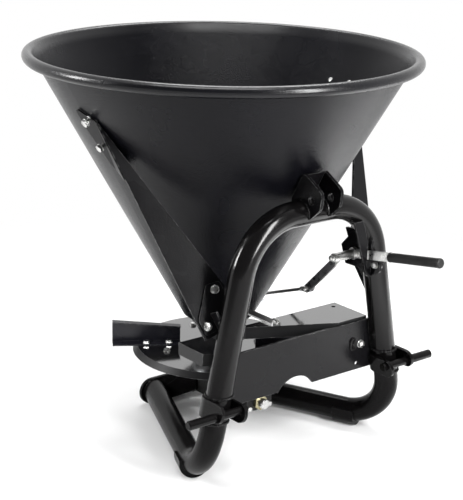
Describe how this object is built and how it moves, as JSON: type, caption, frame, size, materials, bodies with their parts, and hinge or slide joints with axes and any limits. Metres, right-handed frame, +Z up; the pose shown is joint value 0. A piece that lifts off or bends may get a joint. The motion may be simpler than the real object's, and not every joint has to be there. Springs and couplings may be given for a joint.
{
  "type": "cone fertilizer spreader",
  "caption": "Three-point-hitch fertilizer spreader: open cone hopper on a bent-tube stand, spinning disc with vanes under it, bevel gearbox and a hand lever for the outlet shutter.",
  "frame": {"origin": "on the floor under the common axis of the hopper and the spinner", "axes": "+Z up, +Y forward to the tractor, +X to the side without the hand lever"},
  "size_m": [0.969, 1.0823, 0.9595],
  "materials": {
    "frame_paint": "semi-gloss black powder coat",
    "hopper_paint": "satin black powder coat",
    "sheet_paint": "satin black paint",
    "gloss_paint": "gloss black paint",
    "galvanised_sheet": "bright galvanised sheet",
    "zinc_steel": "bright zinc plate",
    "cast_housing": "black painted casting",
    "grip_rubber": "smooth matte rubber"
  },
  "bodies": {
    "stand": {"apron": "sheet_paint", "arm_bracket_left": "sheet_paint", "arm_bracket_right": "sheet_paint", "frame_hoop": "frame_paint", "gearbox_housing": "cast_housing", "gearbox_strut_left": "frame_paint", "gearbox_strut_right": "frame_paint", "hitch_strap_left": "frame_paint", "hitch_strap_right": "frame_paint", "hopper": "hopper_paint", "lever_bracket": "sheet_paint", "lower_pin_left": "frame_paint", "lower_pin_right": "frame_paint", "outlet_plate": "galvanised_sheet", "rear_cross_plate": "frame_paint", "skid_foot_left": "frame_paint", "skid_foot_right": "frame_paint", "spray_deck": "gloss_paint", "support_arm_left": "sheet_paint", "support_arm_right": "sheet_paint", "tongue_strap": "galvanised_sheet", "top_link_clevis": "frame_paint"},
    "spinner": {"spreading_disc": "gloss_paint", "disc_hub": "galvanised_sheet", "spindle_and_fingers": "zinc_steel", "vane_1": "sheet_paint", "vane_2": "sheet_paint", "vane_3": "sheet_paint", "vane_4": "sheet_paint"},
    "input_drive": {"input_shaft": "zinc_steel"},
    "feed_lever": {"lever": "zinc_steel", "lever_grip": "grip_rubber"},
    "feed_rod": {"control_rod": "zinc_steel"},
    "feed_shutter": {"shutter": "galvanised_sheet"}
  },
  "joints": [
    {"name": "spinner_spin", "type": "hinge", "parent": "stand", "child": "spinner", "pos_m": [0, 0, 0.15], "axis": [0, 0, 1], "continuous": true},
    {"name": "input_spin", "type": "hinge", "parent": "stand", "child": "input_drive", "pos_m": [0, 0.15, 0.1], "axis": [0, 1, 0], "continuous": true},
    {"name": "lever_swing", "type": "hinge", "parent": "stand", "child": "feed_lever", "pos_m": [-0.165, 0.315, 0.497], "axis": [1, 0, 0], "range_deg": [0, 20]},
    {"name": "rod_swing", "type": "hinge", "parent": "feed_lever", "child": "feed_rod", "pos_m": [-0.1285, 0.202, 0.384], "axis": [1, 0, 0], "range_deg": [-28.8, 0]},
    {"name": "shutter_turn", "type": "hinge", "parent": "stand", "child": "feed_shutter", "pos_m": [0, 0, 0.265], "axis": [0, 0, 1], "range_deg": [-14.4, 0]}
  ],
  "couplings": [
    {"joint": "input_spin", "follows": "spinner_spin", "ratio": 1},
    {"joint": "rod_swing", "follows": "lever_swing", "ratio": -1.435},
    {"joint": "shutter_turn", "follows": "lever_swing", "ratio": -0.714}
  ]
}
